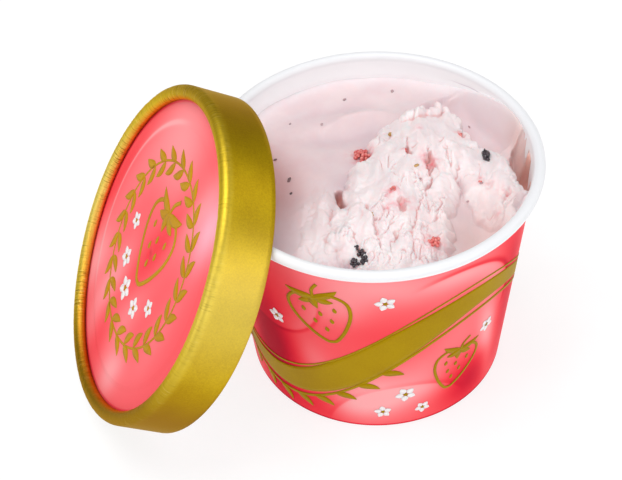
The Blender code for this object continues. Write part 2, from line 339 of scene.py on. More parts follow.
def floor_material():
    t = Tree("studio_floor")
    fine = t.noise(t.place(), 60.0, 3.0)
    t.set(Base_Color=t.mottle(fine, (0.24, 0.24, 0.243), (0.26, 0.26, 0.263)))
    t.set(Roughness=0.8, Specular_IOR_Level=0.1)
    t.set(Emission_Color=(1.0, 1.0, 1.0), Emission_Strength=0.8)
    return t.material


def white_card():
    """Coated card, greyer on the rim as painted shade, with a thin film and one line of gelato inside the
    wall.
    """
    t = Tree("white_card")
    place = t.place()
    x, y, z = t.split(place)
    clouds = t.noise(place, 60.0, 2.0)
    white = t.mottle(clouds, (0.955, 0.96, 0.975), (0.975, 0.98, 0.99))
    # Painted shade: the rim roll is painted a bluish grey
    white = t.blend(t.ramp(z, 55.6 * MM, 56.6 * MM), white, (0.88, 0.885, 0.905))
    dx, dy = t.sub(x, AXIS.x), t.sub(y, AXIS.y)
    wall = t.add(t.mul(z, (RIM_RADIUS - FOOT_RADIUS) / RIM_HEIGHT), FOOT_RADIUS - 1.2 * MM)
    inside = t.ramp(t.sub(t.length(dx, dy), wall), 0.0, 0.9 * MM, 1.0, 0.0)
    wet = t.add(z, t.mul(t.noise(place, 90.0, 2.0), 2.4 * MM))
    film = t.mul(t.ramp(wet, 52.0 * MM, 54.6 * MM, 1.0, 0.0), inside)
    white = t.blend(t.mul(film, 0.5), white, (0.92, 0.83, 0.85))
    way = t.math("ARCTAN2", dy, dx)
    span = t.mul(t.ramp(way, 0.14, 0.30), t.ramp(way, 0.66, 0.80, 1.0, 0.0))
    line = t.mul(t.bell(t.share(wet, 55.2 * MM, 0.16 * MM)), span, inside)
    t.set(Base_Color=t.blend(t.mul(line, 0.55), white, (0.52, 0.42, 0.50)))
    t.set(Roughness=t.add(t.mul(clouds, 0.1), 0.36))
    t.bump(t.noise(place, 900.0, 4.0, 0.6), 0.00002, 0.5)
    return t.material


def plain_card():
    """The lid's unprinted inside."""
    t = Tree("plain_card")
    place = t.place()
    fibres = t.noise(place, 700.0, 4.0, 0.6)
    t.set(Base_Color=t.mottle(t.noise(place, 70.0, 2.0), (0.90, 0.89, 0.88), (0.94, 0.935, 0.93)))
    t.set(Roughness=t.add(t.mul(fibres, 0.15), 0.5))
    t.bump(fibres, 0.00003, 0.5)
    return t.material


# Soft pools of light and dark in the print: middle across, middle up, two half sizes, turn in
# degrees, and how much lighter, or darker if below 0. Two dark pools are painted shade, marked below.
CUP_PRINT_AND_SHADE_POOLS = [
    (-6, 51, 20, 6, -6, 0.3), (-17, 43, 8, 6, 20, 0.22), (-4, 34, 12, 5, -10, -0.06),
    (-24, 22, 5, 8, 20, 0.16), (12, 30, 9, 12, 12, 0.16), (17, 9, 9, 10, 30, -0.4),
    # The first pool on this line is painted shade at the left edge and the lid's painted shadow
    (-37, 22, 8, 22, 8, -0.66), (-22, 5, 6, 6, 30, -0.16), (-8, 12, 10, 9, 14, 0.42),
    # The last pool on this line is painted shade at the right edge
    (4, 17, 8, 10, 20, 0.16), (22, 22, 3, 14, 12, 0.36), (29, 30, 5, 26, 14, -0.32),
    (-48, 38, 9, 14, 20, 0.3), (54, 30, 12, 26, 0, 0.2), (86, 34, 16, 20, 30, 0.3),
    (66, 8, 14, 10, 30, -0.3), (-70, 34, 18, 20, -20, 0.3), (-96, 16, 14, 26, 10, -0.25),
]
LID_POOLS = [
    (20, 12, 8, 26, 8, 0.14), (8, 22, 12, 12, 4, 0.22), (-10, 22, 5, 14, 6, 0.22),
    (-2, 2, 5, 20, 10, -0.16), (8, -20, 6, 14, 8, 0.26), (-6, -16, 5, 14, 5, 0.16),
    (0, -29, 6, 7, 0, -0.1), (22, -24, 6, 10, 12, 0.26), (31, -4, 3, 16, 6, -0.12),
    (-22, -6, 5, 18, 0, 0.1), (-13, -28, 5, 8, 20, 0.3),
]
# Soft petal shapes in the cup's print: middle across and up, size, the way its edge faces in
# degrees, light inside, dark line outside
PETAL_EDGES = [
    (8.5, 33.5, 17.2, 50, 0.24, -0.24), (-34, 42, 13, -60, 0.1, -0.14), (-2, -4, 19, 100, 0.14, -0.08),
    (-74, 30, 16, 60, 0.26, -0.25), (74, 20, 20, 110, 0.26, -0.25), (92, 40, 14, -40, 0.2, -0.2),
]
# The print's colours, from its darkest tone to its lightest
PINKS = [
    (0, (0.4, 0, 0.018)),
    (0.25, (0.76, 0.003, 0.03)),
    (0.5, (0.98, 0.055, 0.07)),
    (0.75, (1, 0.2, 0.22)),
    (1, (1, 0.46, 0.47)),
]


def satin(t, across, up, pools):
    """The print's tone, from 0 to 1, with its soft pools, some of them painted shade."""
    tone = 0.5
    for mid_a, mid_b, size_a, size_b, turn_deg, amount in pools:
        da, db = t.sub(across, mid_a * MM), t.sub(up, mid_b * MM)
        share_a = t.mul(t.along(da, db, turn_deg), 1 / (size_a * MM))
        share_b = t.mul(t.along(da, db, turn_deg + 90), 1 / (size_b * MM))
        tone = t.add(tone, t.mul(t.bell(share_a, share_b), amount))
    return tone


def pink_print(t, tone):
    ramp = t.node("ValToRGB", {0: tone})
    stops = ramp.color_ramp
    stops.interpolation = "B_SPLINE"
    stops.elements[0].color = (*PINKS[0][1], 1.0)
    stops.elements[1].color = (*PINKS[-1][1], 1.0)
    for position, colour in PINKS[1:-1]:
        stops.elements.new(position).color = (*colour, 1.0)
    return ramp.outputs[0]


def print_finish(t, place):
    fine = t.noise(place, 1400.0, 2.0)
    t.set(Roughness=t.add(t.mul(fine, 0.08), 0.34), Specular_IOR_Level=0.012)
    t.bump(t.noise(place, 350.0, 3.0), 0.00003, 0.4)


def cup_print():
    """Pink satin print, with painted shade at its sides and bottom edge: across runs round the cup from
    the front, z runs up it.
    """
    t = Tree("printed_card_cup")
    place = t.place()
    x, y, z = t.split(place)
    way = t.math("ARCTAN2", t.sub(x, AXIS.x), t.sub(AXIS.y, y))
    across = t.mul(way, ART_RADIUS * MM)
    warp = t.mul(t.sub(t.noise(place, 28.0, 2.0), 0.5), 8.0 * MM)
    tone = satin(t, t.add(across, warp), t.add(z, warp), CUP_PRINT_AND_SHADE_POOLS)
    for mid_u, mid_v, size, facing, light, dark in PETAL_EDGES:
        du, dv = t.sub(across, mid_u * MM), t.sub(z, mid_v * MM)
        away = t.mul(t.length(du, dv), 1 / (size * MM))
        mask = t.ramp(t.mul(t.along(du, dv, facing), 1 / (size * MM)), 0.25, 0.85)
        inner = t.mul(t.ramp(away, 0.45, 1.0), t.ramp(away, 0.985, 1.015, 1.0, 0.0), light)
        line = t.sub(away, 1.03)
        outer = t.mul(t.math("EXPONENT", t.mul(line, line, -500.0)), dark)
        tone = t.add(tone, t.mul(mask, t.add(inner, outer)))
    # Painted shade: the print is darkened along the bottom edge
    tone = t.sub(t.add(tone, 0.06), t.ramp(z, 0.3 * MM, 1.1 * MM, 0.5, 0.0))
    t.set(Base_Color=pink_print(t, tone))
    print_finish(t, place)
    return t.material


def panel_print():
    """Pink satin print of the lid, with a painted highlight on its step and painted shade at its edge:
    across is level on the face, up runs up it.
    """
    t = Tree("printed_card_panel")
    place = t.place()
    up, across, _ = t.split(lid_place(t))
    warp = t.mul(t.sub(t.noise(place, 22.0, 2.0), 0.5), 10.0 * MM)
    tone = satin(t, t.add(across, warp), t.add(up, warp), LID_POOLS)
    # Painted highlight along the left side of the embossed step
    far = t.length(up, across)
    ring = t.bell(t.share(far, 30.4 * MM, 0.7 * MM))
    step_highlight = t.mul(t.ramp(across, 12.0 * MM, 24.0 * MM), ring, 0.26)
    # Painted shade: darker at the panel's edge, where it meets the gold band
    tone = t.sub(t.add(tone, step_highlight, 0.10), t.ramp(far, 34.9 * MM, 35.3 * MM, 0.0, 0.14))
    pale = t.bell(t.share(across, -17.5 * MM, 5.5 * MM), t.share(up, 24.0 * MM, 9.0 * MM))
    t.set(Base_Color=t.blend(t.mul(pale, 0.85), pink_print(t, tone), (0.95, 0.50, 0.60)))
    print_finish(t, place)
    return t.material


def lid_place(t):
    """Object coordinates turned into the lid's own frame: up the face, across it, out of it."""
    inverse = TO_LID.inverted()
    shift = t.node("Mapping", {"Vector": t.place()}, vector_type="POINT")
    shift.inputs["Location"].default_value = inverse.translation
    shift.inputs["Rotation"].default_value = inverse.to_euler()
    return shift.outputs[0]


# Painted highlights on the lid's gold: the angle round the face, its spread, how strong
GOLD_GLEAMS = [(-1.08, 0.34, 0.28), (1.9, 0.5, 0.6)]


def gold_card():
    """Gold paper, finely crimped where it is rolled over the lid's edge, with painted shade, painted
    highlights and a painted reflection of the pink panel.
    """
    t = Tree("gold_card")
    place = t.place()
    up, across, out = t.split(lid_place(t))
    fine = t.noise(place, 2600.0, 3.0, 0.7)
    tone = t.add(t.mul(fine, 0.55), t.mul(t.noise(place, 90.0, 3.0), 0.45))
    rolled = t.ramp(out, LID_HEIGHT - 1.7 * BEAD_ROLL, LID_HEIGHT - 0.7 * BEAD_ROLL)
    far = t.length(up, across)
    # The bead's inner slope, which gets a painted orange reflection of the pink panel
    slope = t.ramp(far, LID_RADIUS - 1.95 * BEAD_ROLL, LID_RADIUS - 1.45 * BEAD_ROLL, 1.0, 0.0)
    way = t.math("ARCTAN2", across, up)
    # Painted shade: the band is darker at its top and round its bottom, by the angle round the face
    top_shade = t.mul(t.ramp(way, -0.5, 0.3, 0.0, 0.45), t.ramp(way, 0.5, 1.1, 1.0, 0.0))
    shade = t.add(top_shade, t.ramp(way, -1.35, -2.0, 0.0, 0.8), t.ramp(way, 2.4, 3.1, 0.0, 0.8))
    gleam = t.add(*[t.mul(t.bell(t.share(way, *at)), strong) for *at, strong in GOLD_GLEAMS])
    crimps = t.noise(t.join(t.mul(way, LID_RADIUS), t.mul(out, 0.12), 0.0), 2000.0, 3.0, 0.7)
    # Patches where the crimps show strongly
    mark_patches = t.ramp(t.noise(t.join(t.mul(way, 2.2), 0.0, 0.0), 1.0, 2.0), 0.42, 0.6, 0.35, 1.0)
    mark_patches = t.mul(mark_patches, t.ramp(across, -14.0 * MM, 8.0 * MM, 0.35, 1.0))
    crimp_shade = t.ramp(crimps, 0.36, 0.47, 1.0, 0.0)
    raised = t.ramp(crimps, 0.56, 0.66)
    base = t.mottle(tone, (0.46, 0.28, 0.001), (0.66, 0.45, 0.006))
    for amount, colour in [
        # Painted highlight: the rolled bead is painted paler gold
        (t.mul(rolled, 0.6), (0.80, 0.60, 0.05)),
        (shade, (0.25, 0.118, 0.0)),
        (gleam, (0.98, 0.82, 0.24)),
        # Painted reflection of the pink panel on the bead's inner slope
        (t.mul(slope, rolled, 0.45), (0.90, 0.30, 0.02)),
        # Painted shade in the crimps' creases and painted highlights on their ridges
        (t.mul(crimp_shade, rolled, mark_patches, 0.75), (0.18, 0.09, 0.0)),
        (t.mul(raised, rolled, mark_patches, 0.5), (0.98, 0.85, 0.32)),
    ]:
        base = t.blend(amount, base, colour)
    t.set(Base_Color=base, Metallic=1.0, Specular_Tint=(0.85, 0.62, 0.12))
    t.set(Roughness=t.add(t.mul(fine, 0.14), t.mul(rolled, 0.08), 0.34))
    t.set(Coat_Weight=0.12, Coat_Roughness=0.35)
    t.bump(t.add(t.mul(crimps, rolled, mark_patches, 5.0), t.mul(fine, 0.5)), 0.00006)
    return t.material


# How the painted layers colour the gelato, in this order: layer, how strong, colour. The first,
# second and fourth are painted shade: in dips, the lid's shadow, and warm shade in crevices.
LAYER_COLOURS = [
    ("shade", 0.4, (0.62, 0.44, 0.5)),
    ("lid_shadow", 0.8, (0.64, 0.33, 0.32)),
    ("edge", 0.7, (0.88, 0.8, 0.82)),
    ("warm_shade", 0.85, (0.7, 0.36, 0.27)),
]


def gelato_material():
    t = Tree("gelato")
    place = t.place()
    clouds = t.noise(place, 160.0, 3.0)
    fine = t.noise(place, 900.0, 4.0, 0.6)
    smooth = t.mottle(clouds, (0.80, 0.63, 0.65), (0.84, 0.69, 0.70))
    rough = t.mottle(clouds, (0.88, 0.76, 0.77), (0.93, 0.83, 0.83))
    base = t.blend(t.attribute("cover"), smooth, rough)
    for layer, amount, colour in LAYER_COLOURS:
        base = t.blend(t.mul(t.attribute(layer), amount), base, colour)
    # Painted shade in the creases
    base = t.blend(t.mul(t.ramp(t.attribute("crease_shade"), 0.08, 0.9), 0.7), base, (0.84, 0.50, 0.49))
    # Painted shade: pits and the wall crevice are coloured dark red
    base = t.blend(t.mul(t.attribute("pit"), 0.85), base, (0.62, 0.28, 0.24))
    spots = t.mul(t.attribute("stain"), t.ramp(t.noise(place, 700.0, 2.0), 0.3, 0.6))
    t.set(Base_Color=t.blend(spots, base, (0.80, 0.16, 0.20)))
    t.set(Roughness=t.add(t.mul(fine, 0.2), 0.38))
    t.set(Subsurface_Weight=0.4, Subsurface_Scale=0.0018, Subsurface_Radius=(1.0, 0.45, 0.4))
    t.bump(fine, 0.00006, 0.5)
    return t.material


def chip_material(name, dark, light, rough):
    t = Tree(name)
    fine = t.noise(t.place(), 1500.0, 3.0, 0.6)
    t.set(Base_Color=t.blend(t.ramp(fine, 0.35, 0.65), dark, light))
    t.set(Roughness=rough, Coat_Weight=0.5, Coat_Roughness=0.15)
    t.bump(fine, 0.0002, 0.6)
    return t.material


def printed_gold(name, dark, light):
    t = Tree(name)
    place = t.place()
    fine = t.noise(place, 2200.0, 3.0, 0.7)
    tone = t.add(t.mul(fine, 0.4), t.mul(t.noise(place, 70.0, 2.0), 0.6))
    t.set(Base_Color=t.mottle(tone, dark, light))
    t.set(Metallic=0.1, Roughness=0.5, Specular_IOR_Level=0.05)
    t.bump(fine, 0.00003, 0.3)
    return t.material


def printed_white():
    t = Tree("printed_white")
    fine = t.noise(t.place(), 1800.0, 3.0, 0.6)
    t.set(Base_Color=t.mottle(fine, (0.88, 0.84, 0.84), (0.95, 0.92, 0.92)), Roughness=0.4)
    return t.material


# Meshes

def arc(centre, radius, start_deg, end_deg, steps):
    angles = np.radians(np.linspace(start_deg, end_deg, steps + 1))
    return [(centre[0] + radius * math.cos(a), centre[1] + radius * math.sin(a)) for a in angles]


def finer(profile, longest, closed):
    """The profile with its long straight stretches cut into shorter ones."""
    ends = profile[1:] + profile[:1] if closed else profile[1:]
    points = []
    for start, end in zip(profile, ends):
        count = max(1, math.ceil(math.dist(start, end) / longest))
        points += [
            (start[0] + (end[0] - start[0]) * k / count, start[1] + (end[1] - start[1]) * k / count)
            for k in range(count)
        ]
    return points if closed else points + [profile[-1]]


def grid_faces(count_u, count_v, wrap_u, wrap_v):
    """The quads of a grid of points, which may close on itself along u and v."""
    index = np.arange(count_u * count_v).reshape(count_u, count_v)
    rows = np.arange(count_u if wrap_u else count_u - 1)
    cols = np.arange(count_v if wrap_v else count_v - 1)
    i, j = np.meshgrid(rows, cols, indexing="ij")
    k, m = (i + 1) % count_u, (j + 1) % count_v
    return np.stack([index[i, j], index[k, j], index[k, m], index[i, m]], -1).reshape(-1, 4).tolist()


def smooth_mesh(name, points, faces):
    mesh = bpy.data.meshes.new(name)
    mesh.from_pydata(points, [], faces)
    mesh.update()
    mesh.shade_smooth()
    return mesh


def grid_mesh(name, points, wrap_u, wrap_v):
    """A mesh from an array of points of shape (u, v, 3)."""
    faces = grid_faces(*points.shape[:2], wrap_u, wrap_v)
    return smooth_mesh(name, points.reshape(-1, 3).tolist(), faces)


def piece(name, mesh, materials, move=None):
    """A visible piece that rides on the part's one body."""
    made = placed(name, mesh, parts)
    if move is not None:
        mesh.transform(move)
    for finish in materials:
        mesh.materials.append(finish)
    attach(made, "root")
    return made


def even_turns(count):
    return np.linspace(0.0, 2 * math.pi, count, endpoint=False)


def turned_points(radius, height, turns):
    """Points of a profile turned about Z to each angle, as an array (turns, profile, 3)."""
    turns = turns[:, None]
    x, y = radius * np.cos(turns), radius * np.sin(turns)
    return np.stack([x, y, np.broadcast_to(height, x.shape)], -1)


def seam_rise(turn_):
    """How far the side's overlapped seam stands out, in metres, at an angle about the cup's axis."""
    off = np.abs(np.asarray(turn_) - SEAM_TURN) * FOOT_RADIUS
    return SEAM_RISE * (1 - smooth_step(off, SEAM_WIDTH / 2, SEAM_WIDTH / 2 + SEAM_RISE))


def wall_inner(z):
    """The radius of the wall's inside at a height."""
    roll_z = RIM_HEIGHT - RIM_ROLL
    top, bottom = RIM_RADIUS - 2 * RIM_ROLL, FOOT_RADIUS - CARD
    return bottom + (top - bottom) * z / roll_z


def grain(x, y, seed):
    """Smooth noise on a grid of cells one unit wide, about -0.7 to 0.7."""
    turns = np.random.default_rng(seed).random((LATTICE, LATTICE)) * 2 * math.pi
    column, row = np.floor(x).astype(int), np.floor(y).astype(int)
    across, along = x - column, y - row

    def corner(step_x, step_y):
        turn_ = turns[(column + step_x) % LATTICE, (row + step_y) % LATTICE]
        return np.cos(turn_) * (across - step_x) + np.sin(turn_) * (along - step_y)

    fade_x = across**3 * (across * (across * 6 - 15) + 10)
    fade_y = along**3 * (along * (along * 6 - 15) + 10)
    near = corner(0, 0) * (1 - fade_x) + corner(1, 0) * fade_x
    far = corner(0, 1) * (1 - fade_x) + corner(1, 1) * fade_x
    return near * (1 - fade_y) + far * fade_y


def reach_of(x, y, spot):
    """How far each point is from the spot's middle, squared, as a share of its half sizes."""
    centre_x, centre_y, length, width, turn_deg, _ = spot
    turn_ = math.radians(turn_deg)
    dx, dy = x - centre_x * MM, y - centre_y * MM
    along = dx * math.sin(turn_) + dy * math.cos(turn_)
    across = dx * math.cos(turn_) - dy * math.sin(turn_)
    return (along / (length * MM)) ** 2 + (across / (width * MM)) ** 2


def bell(*offsets):
    """1 where the offsets are 0, falling smoothly to 0 as they grow."""
    return np.exp(-sum(off**2 for off in offsets))


def dome(x, y, spot):
    """A round-topped rise with a sharp edge."""
    return spot[-1] * MM * np.sqrt(np.clip(1 - reach_of(x, y, spot), 0.0, 1.0))


def swell(x, y, spot):
    """A rise that fades out softly."""
    return spot[-1] * MM * np.exp(-reach_of(x, y, spot))


def smooth_step(value, start, end):
    part = np.clip((value - start) / (end - start), 0.0, 1.0)
    return part * part * (3 - 2 * part)


def path_reach(x, y, path):
    """Distance to a path in millimetres, and which side of it: 1 to its right, -1 to its left."""
    best, side = np.full(x.shape, 1e3), np.zeros(x.shape)
    for (start_x, start_y), (end_x, end_y) in zip(path, path[1:]):
        run_x, run_y = end_x - start_x, end_y - start_y
        length = math.hypot(run_x, run_y)
        dx, dy = x - start_x, y - start_y
        part = np.clip((dx * run_x + dy * run_y) / length**2, 0.0, 1.0)
        off = np.hypot(dx - part * run_x, dy - part * run_y)
        turned_ = np.tanh((dx * run_y - dy * run_x) / length / 0.15)
        side = np.where(off < best, turned_, side)
        best = np.minimum(off, best)
    return best, side


def ragged(x, y):
    """The coordinates shaken by a coarse and a fine grain, for edges that look torn."""
    coarse = [EDGE_RAGGED * grain(x / EDGE_GRAIN, y / EDGE_GRAIN, seed) for seed in (1, 2)]
    fine = [FINE_RAGGED * grain(x / FINE_GRAIN, y / FINE_GRAIN, seed) for seed in (11, 12)]
    return x + coarse[0] + fine[0], y + coarse[1] + fine[1]


def rough_relief(x, y):
    """Ridges, lumps, nicks, crumbs and torn creases of the heap, in millimetres."""
    mm_x, mm_y = x / MM, y / MM
    along = mm_x * math.sin(RIDGE_TURN) + mm_y * math.cos(RIDGE_TURN)
    across = mm_x * math.cos(RIDGE_TURN) - mm_y * math.sin(RIDGE_TURN)
    broad = grain(across / 5.0, along / 16, 3) + 0.55 * grain(across / 2.5, along / 8, 4)
    across = across + 2.2 * grain(across / 9, along / 9, 20) + 0.7 * grain(across / 2.4, along / 3.2, 21)
    lumps = 0.55 * grain(across / 2.4, along / 8.0, 14) + 0.28 * grain(across / 1.2, along / 3.4, 22)
    mark_patches = smooth_step(grain(mm_x / 5, mm_y / 6, 9), 0.0, 0.3)
    patch = smooth_step(grain(mm_x / 5, mm_y / 5, 16) - 0.02 * (mm_y + 18), -0.05, 0.35)
    nick = 1.3 * bell(grain(across / 3.4, along / 9, 8) / 0.04) * mark_patches
    nick = nick + 1.1 * bell(grain(across / 2.0, along / 6, 18) / 0.06) * patch
    crumbs = np.abs(grain(mm_x / 0.9, mm_y / 1.1, 5)) + 0.5 * np.abs(grain(mm_x / 0.45, mm_y / 0.5, 6))
    relief = 1.8 * broad + lumps - 0.5 * nick + (0.14 + 0.9 * patch) * crumbs
    relief = relief * (1 - 0.5 * bell(reach_of(x, y, LOBES["side"])))
    jag_x = mm_x + 0.9 * grain(mm_x / 1.5, mm_y / 1.5, 31) + 0.4 * grain(mm_x / 0.7, mm_y / 0.7, 32)
    jag_y = mm_y + 0.9 * grain(mm_x / 1.5, mm_y / 1.5, 33)
    for path, depth, lip in TEARS:
        off, side = path_reach(jag_x, jag_y, path)
        relief = relief + lip * side * np.exp(-off / 1.2) - depth * bell(off / 0.32)
    return relief


def fold_step(mm_x, mm_y):
    """The step at the soft fold, in millimetres, which fades out towards the heap and the left."""
    off, side = path_reach(mm_x + 0.6 * grain(mm_x / 4, mm_y / 4, 61), mm_y, FOLD_EDGE)
    step = np.where(side > 0, 0.8 * np.exp(-off / 3.4), -0.4 * np.exp(-off / 2.0))
    step = step * smooth_step(off, -0.3, 1.6)
    return step * smooth_step(mm_y, 12.0, 20.0) * smooth_step(mm_x, -11.0, -4.0)


def scoop_reach(mm_x, mm_y):
    """Distance to the far edge of the scooped corner, and the side of it."""
    return path_reach(mm_x + 0.8 * grain(mm_x / 3, mm_y / 3, 62), mm_y, SCOOP_EDGE)


def scoop_step(mm_x, mm_y):
    off, side = scoop_reach(mm_x, mm_y)
    return np.where(side > 0, -0.3 * np.exp(-off / 1.6), 0.3 * np.exp(-off / 0.9))


def gelato_height(x, y):
    """Height of the gelato's face, how much the rough part covers it, and how deep the pits are."""
    mm_x, mm_y = x / MM, y / MM
    torn_x, torn_y = ragged(x, y)
    heap = sum(dome(torn_x, torn_y, spot) ** 4 for spot in LOBES.values()) ** 0.25
    heap_cover = smooth_step(heap, 0.3 * MM, 2.4 * MM)
    skirt = np.exp(-reach_of(torn_x, torn_y, SWELLS["skirt"]))
    cover = np.maximum(heap_cover, 0.75 * smooth_step(skirt, 0.1, 0.7))

    edge = wall_inner(FILL_LEVEL) - 0.3 * MM - np.hypot(x, y)
    off_wall = smooth_step(edge, 0.1 * MM, 1.5 * MM)
    hollow = np.maximum(dome(x, y, SCOOPED_CORNER), dome(x, y, SCOOPED_BOWL)) * off_wall
    film = FILM_RISE * bell(edge / FILM_WIDTH, (np.arctan2(y, x) - FILM_MIDDLE) / FILM_SPREAD)
    soft = 0.35 * grain(mm_x / 8, mm_y / 8, 7) + 0.05 * grain(mm_x / 1.6, mm_y / 1.6, 17)
    smooth = sum(swell(x, y, spot) for spot in SWELLS.values())
    smooth = smooth - hollow * (1 - 0.85 * cover) + (film + soft * MM) * (1 - cover)
    smooth = smooth + sum(dome(torn_x, torn_y, spot) for spot in SKIRT_LUMPS) * (1 - heap_cover)

    curl_x = x + 0.7 * MM * grain(mm_x / 1.8, mm_y / 1.8, 71)
    curl_y = y + 0.7 * MM * grain(mm_x / 1.8, mm_y / 1.8, 72)
    petals = sum(dome(curl_x, curl_y, spot) for spot in PETALS)
    cover = np.maximum(cover, 0.8 * smooth_step(petals, 0.1 * MM, 0.9 * MM))
    steps = fold_step(mm_x, mm_y) + scoop_step(mm_x, mm_y) * off_wall
    smooth = smooth + petals + steps * (1 - cover) * MM
    pits = np.maximum.reduce([dome(torn_x, torn_y, spot) for spot in PITS])
    cuts = pits * smooth_step(cover, 0.0, 0.15) + dome(torn_x, torn_y, WALL_CREVICE)
    return FILL_LEVEL + smooth + heap + cover * rough_relief(x, y) * MM - cuts, cover, pits


def disc_grid(cells):
    """A square grid bent into a disc of radius 1, without a middle point that many faces share."""
    step = np.linspace(-1.0, 1.0, cells + 1)
    u, v = np.meshgrid(step, step, indexing="ij")
    wide = np.abs(u) >= np.abs(v)
    reach = np.where(wide, u, v)
    turn_ = np.where(wide, v, u) / np.where(reach == 0.0, 1.0, reach) * math.pi / 4
    x = reach * np.where(wide, np.cos(turn_), np.sin(turn_))
    y = reach * np.where(wide, np.sin(turn_), np.cos(turn_))
    return x, y


def blurred(field, rounds):
    """The field with each value averaged with its neighbours, several times over."""
    for _ in range(rounds):
        padded = np.pad(field, 1, mode="edge")
        field = (
            padded[1:-1, 1:-1] * 4
            + (padded[:-2, 1:-1] + padded[2:, 1:-1] + padded[1:-1, :-2] + padded[1:-1, 2:]) * 2
            + padded[:-2, :-2] + padded[2:, 2:] + padded[:-2, 2:] + padded[2:, :-2]
        ) / 16
    return field


def gelato_layers(mm_x, mm_y, height, cover, pits, near_wall):
    """The painted layers that colour the gelato's face; most are painted shade, in creases, pits, dips,
    crevices and where the lid's shadow falls.
    """

    def tint(middle_x, middle_y, reach_x, reach_y):
        return bell((mm_x - middle_x) / reach_x, (mm_y - middle_y) / reach_y)

    # Painted shade: creases and hollows of the heap are coloured darker and pinker
    deep = (blurred(height, 60) - height) / (1.3 * MM)
    fine = (blurred(height, 8) - height) / (0.4 * MM) - 0.15
    crease_shade = np.clip(deep, 0.0, 1.0) * 0.6 + np.clip(fine, 0.0, 1.0)
    stain = sum(strong * tint(x, y, reach, reach) for x, y, reach, strong in STAINS)
    stain = stain * (1 + 1.2 * grain(mm_x / 0.9, mm_y / 0.9, 41))
    # Painted shade in the deep crevice between the side lobe and the wall
    crevice_shade = 1.5 * tint(32.6, -9.5, 2.0, 4.6)
    # Warm painted shade: the crevice, the low slope at the front right and the strip along the right wall
    warm_shade = crevice_shade + 0.4 * tint(18, -26, math.sqrt(90), math.sqrt(90))
    warm_shade = warm_shade + 0.5 * tint(33.5, -1.0, 2.4, 7.0)
    # Painted shade in dips of the smooth part, behind the heap and along the scoop's far edge
    shade = np.clip((blurred(height, 400) - height) / (1.2 * MM), 0.0, 1.0)
    shade = shade * smooth_step(-mm_x, -9.0, 0.0) + 0.4 * tint(24, 15, 7, 6)
    shade = shade + 0.8 * bell(scoop_reach(mm_x, mm_y)[0] / 0.35)
    far_side_shade = 0.5 * tint(18, 17.5, 6, 2.5) * (1 - 0.6 * cover)
    return {
        "crease_shade": crease_shade * cover,
        "cover": blurred(cover, 3),
        "stain": stain,
        "edge": near_wall * (1 - cover),
        "warm_shade": warm_shade,
        # The lid's painted shadow: the left part beside the lid is darker and pinker
        "lid_shadow": 1.3 * tint(-25, 4, 9, 13),
        "shade": shade * (1 - cover) + far_side_shade,
        "pit": np.maximum(blurred(pits, 2) / (2.2 * MM), 0.6 * crevice_shade),
    }


def gelato_piece():
    unit_x, unit_y = disc_grid(GELATO_CELLS)
    # The grid's cells are made finer where the heap is
    squeeze = 0.78 + 0.22 * (unit_x**2 + unit_y**2)
    unit_x, unit_y = unit_x * squeeze, unit_y * squeeze
    room = 1 - unit_x**2 - unit_y**2
    unit_x, unit_y = unit_x + 0.14 * room, unit_y - 0.22 * room
    level = wall_inner(FILL_LEVEL) - GELATO_GAP
    height, cover, pits = gelato_height(unit_x * level, unit_y * level)
    height = np.minimum(height, RIM_HEIGHT - 0.2 * MM)
    reach = wall_inner(height) - GELATO_GAP
    x, y = unit_x * reach, unit_y * reach
    near_wall = bell((1 - np.hypot(unit_x, unit_y)) * level / (2.4 * MM))
    mesh = grid_mesh("gelato_face", np.stack([x, y, height], -1), False, False)
    for name, values in gelato_layers(x / MM, y / MM, height, cover, pits, near_wall).items():
        layer = mesh.attributes.new(name, "FLOAT", "POINT")
        layer.data.foreach_set("value", np.clip(values, 0.0, 1.0).astype(np.float32).ravel())
    made = piece("gelato_face", mesh, [gelato_material()], TO_CUP)
    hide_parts("gelato")


def paint_profile(mesh, count, second):
    """Give the faces of the marked profile stretches the piece's second material."""
    mesh.polygons.foreach_set("material_index", np.tile(second, count).astype(np.int32))


def cup_profile():
    """The side's section as (radius, height), and where its printed stretch starts and ends."""
    roll = (RIM_RADIUS - RIM_ROLL, RIM_HEIGHT - RIM_ROLL)
    hem_outer = FOOT_RADIUS - CARD - HEM_SLOT
    hem_inner = hem_outer - CARD
    profile = arc(roll, RIM_ROLL, 180, ROLL_END_DEG, 40)
    profile += arc(roll, RIM_ROLL - CARD, ROLL_END_DEG, 180, 32)
    start = len(profile) - 1
    profile += arc((FOOT_RADIUS - FOOT_ROUND, FOOT_ROUND), FOOT_ROUND, 0, -90, 6)
    end = len(profile)
    profile += arc((hem_inner + FOOT_ROUND, FOOT_ROUND), FOOT_ROUND, -90, -180, 6)
    profile += [(hem_inner, HEM_TOP), (hem_outer, HEM_TOP), (hem_outer, CARD), (FOOT_RADIUS - CARD, CARD)]
    return profile, start, end


def cup_side(white, pink):
    profile, start, end = cup_profile()
    edges = (SEAM_WIDTH / 2 + np.linspace(0.0, SEAM_RISE, 5)) / FOOT_RADIUS
    turns = np.unique(np.concatenate([even_turns(CUP_TURNS), SEAM_TURN - edges, SEAM_TURN + edges]))
    radius, height = np.array(profile).T
    row = np.arange(len(profile))
    raised = (row > start) & (row < end)
    radius = radius * INSET + seam_rise(turns)[:, None] * raised
    mesh = grid_mesh("cup_side", turned_points(radius, height, turns), True, True)
    made = piece("cup_side", mesh, [white, pink], TO_CUP)
    paint_profile(mesh, len(turns), (row >= start) & (row < end))
    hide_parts("cup_wall")


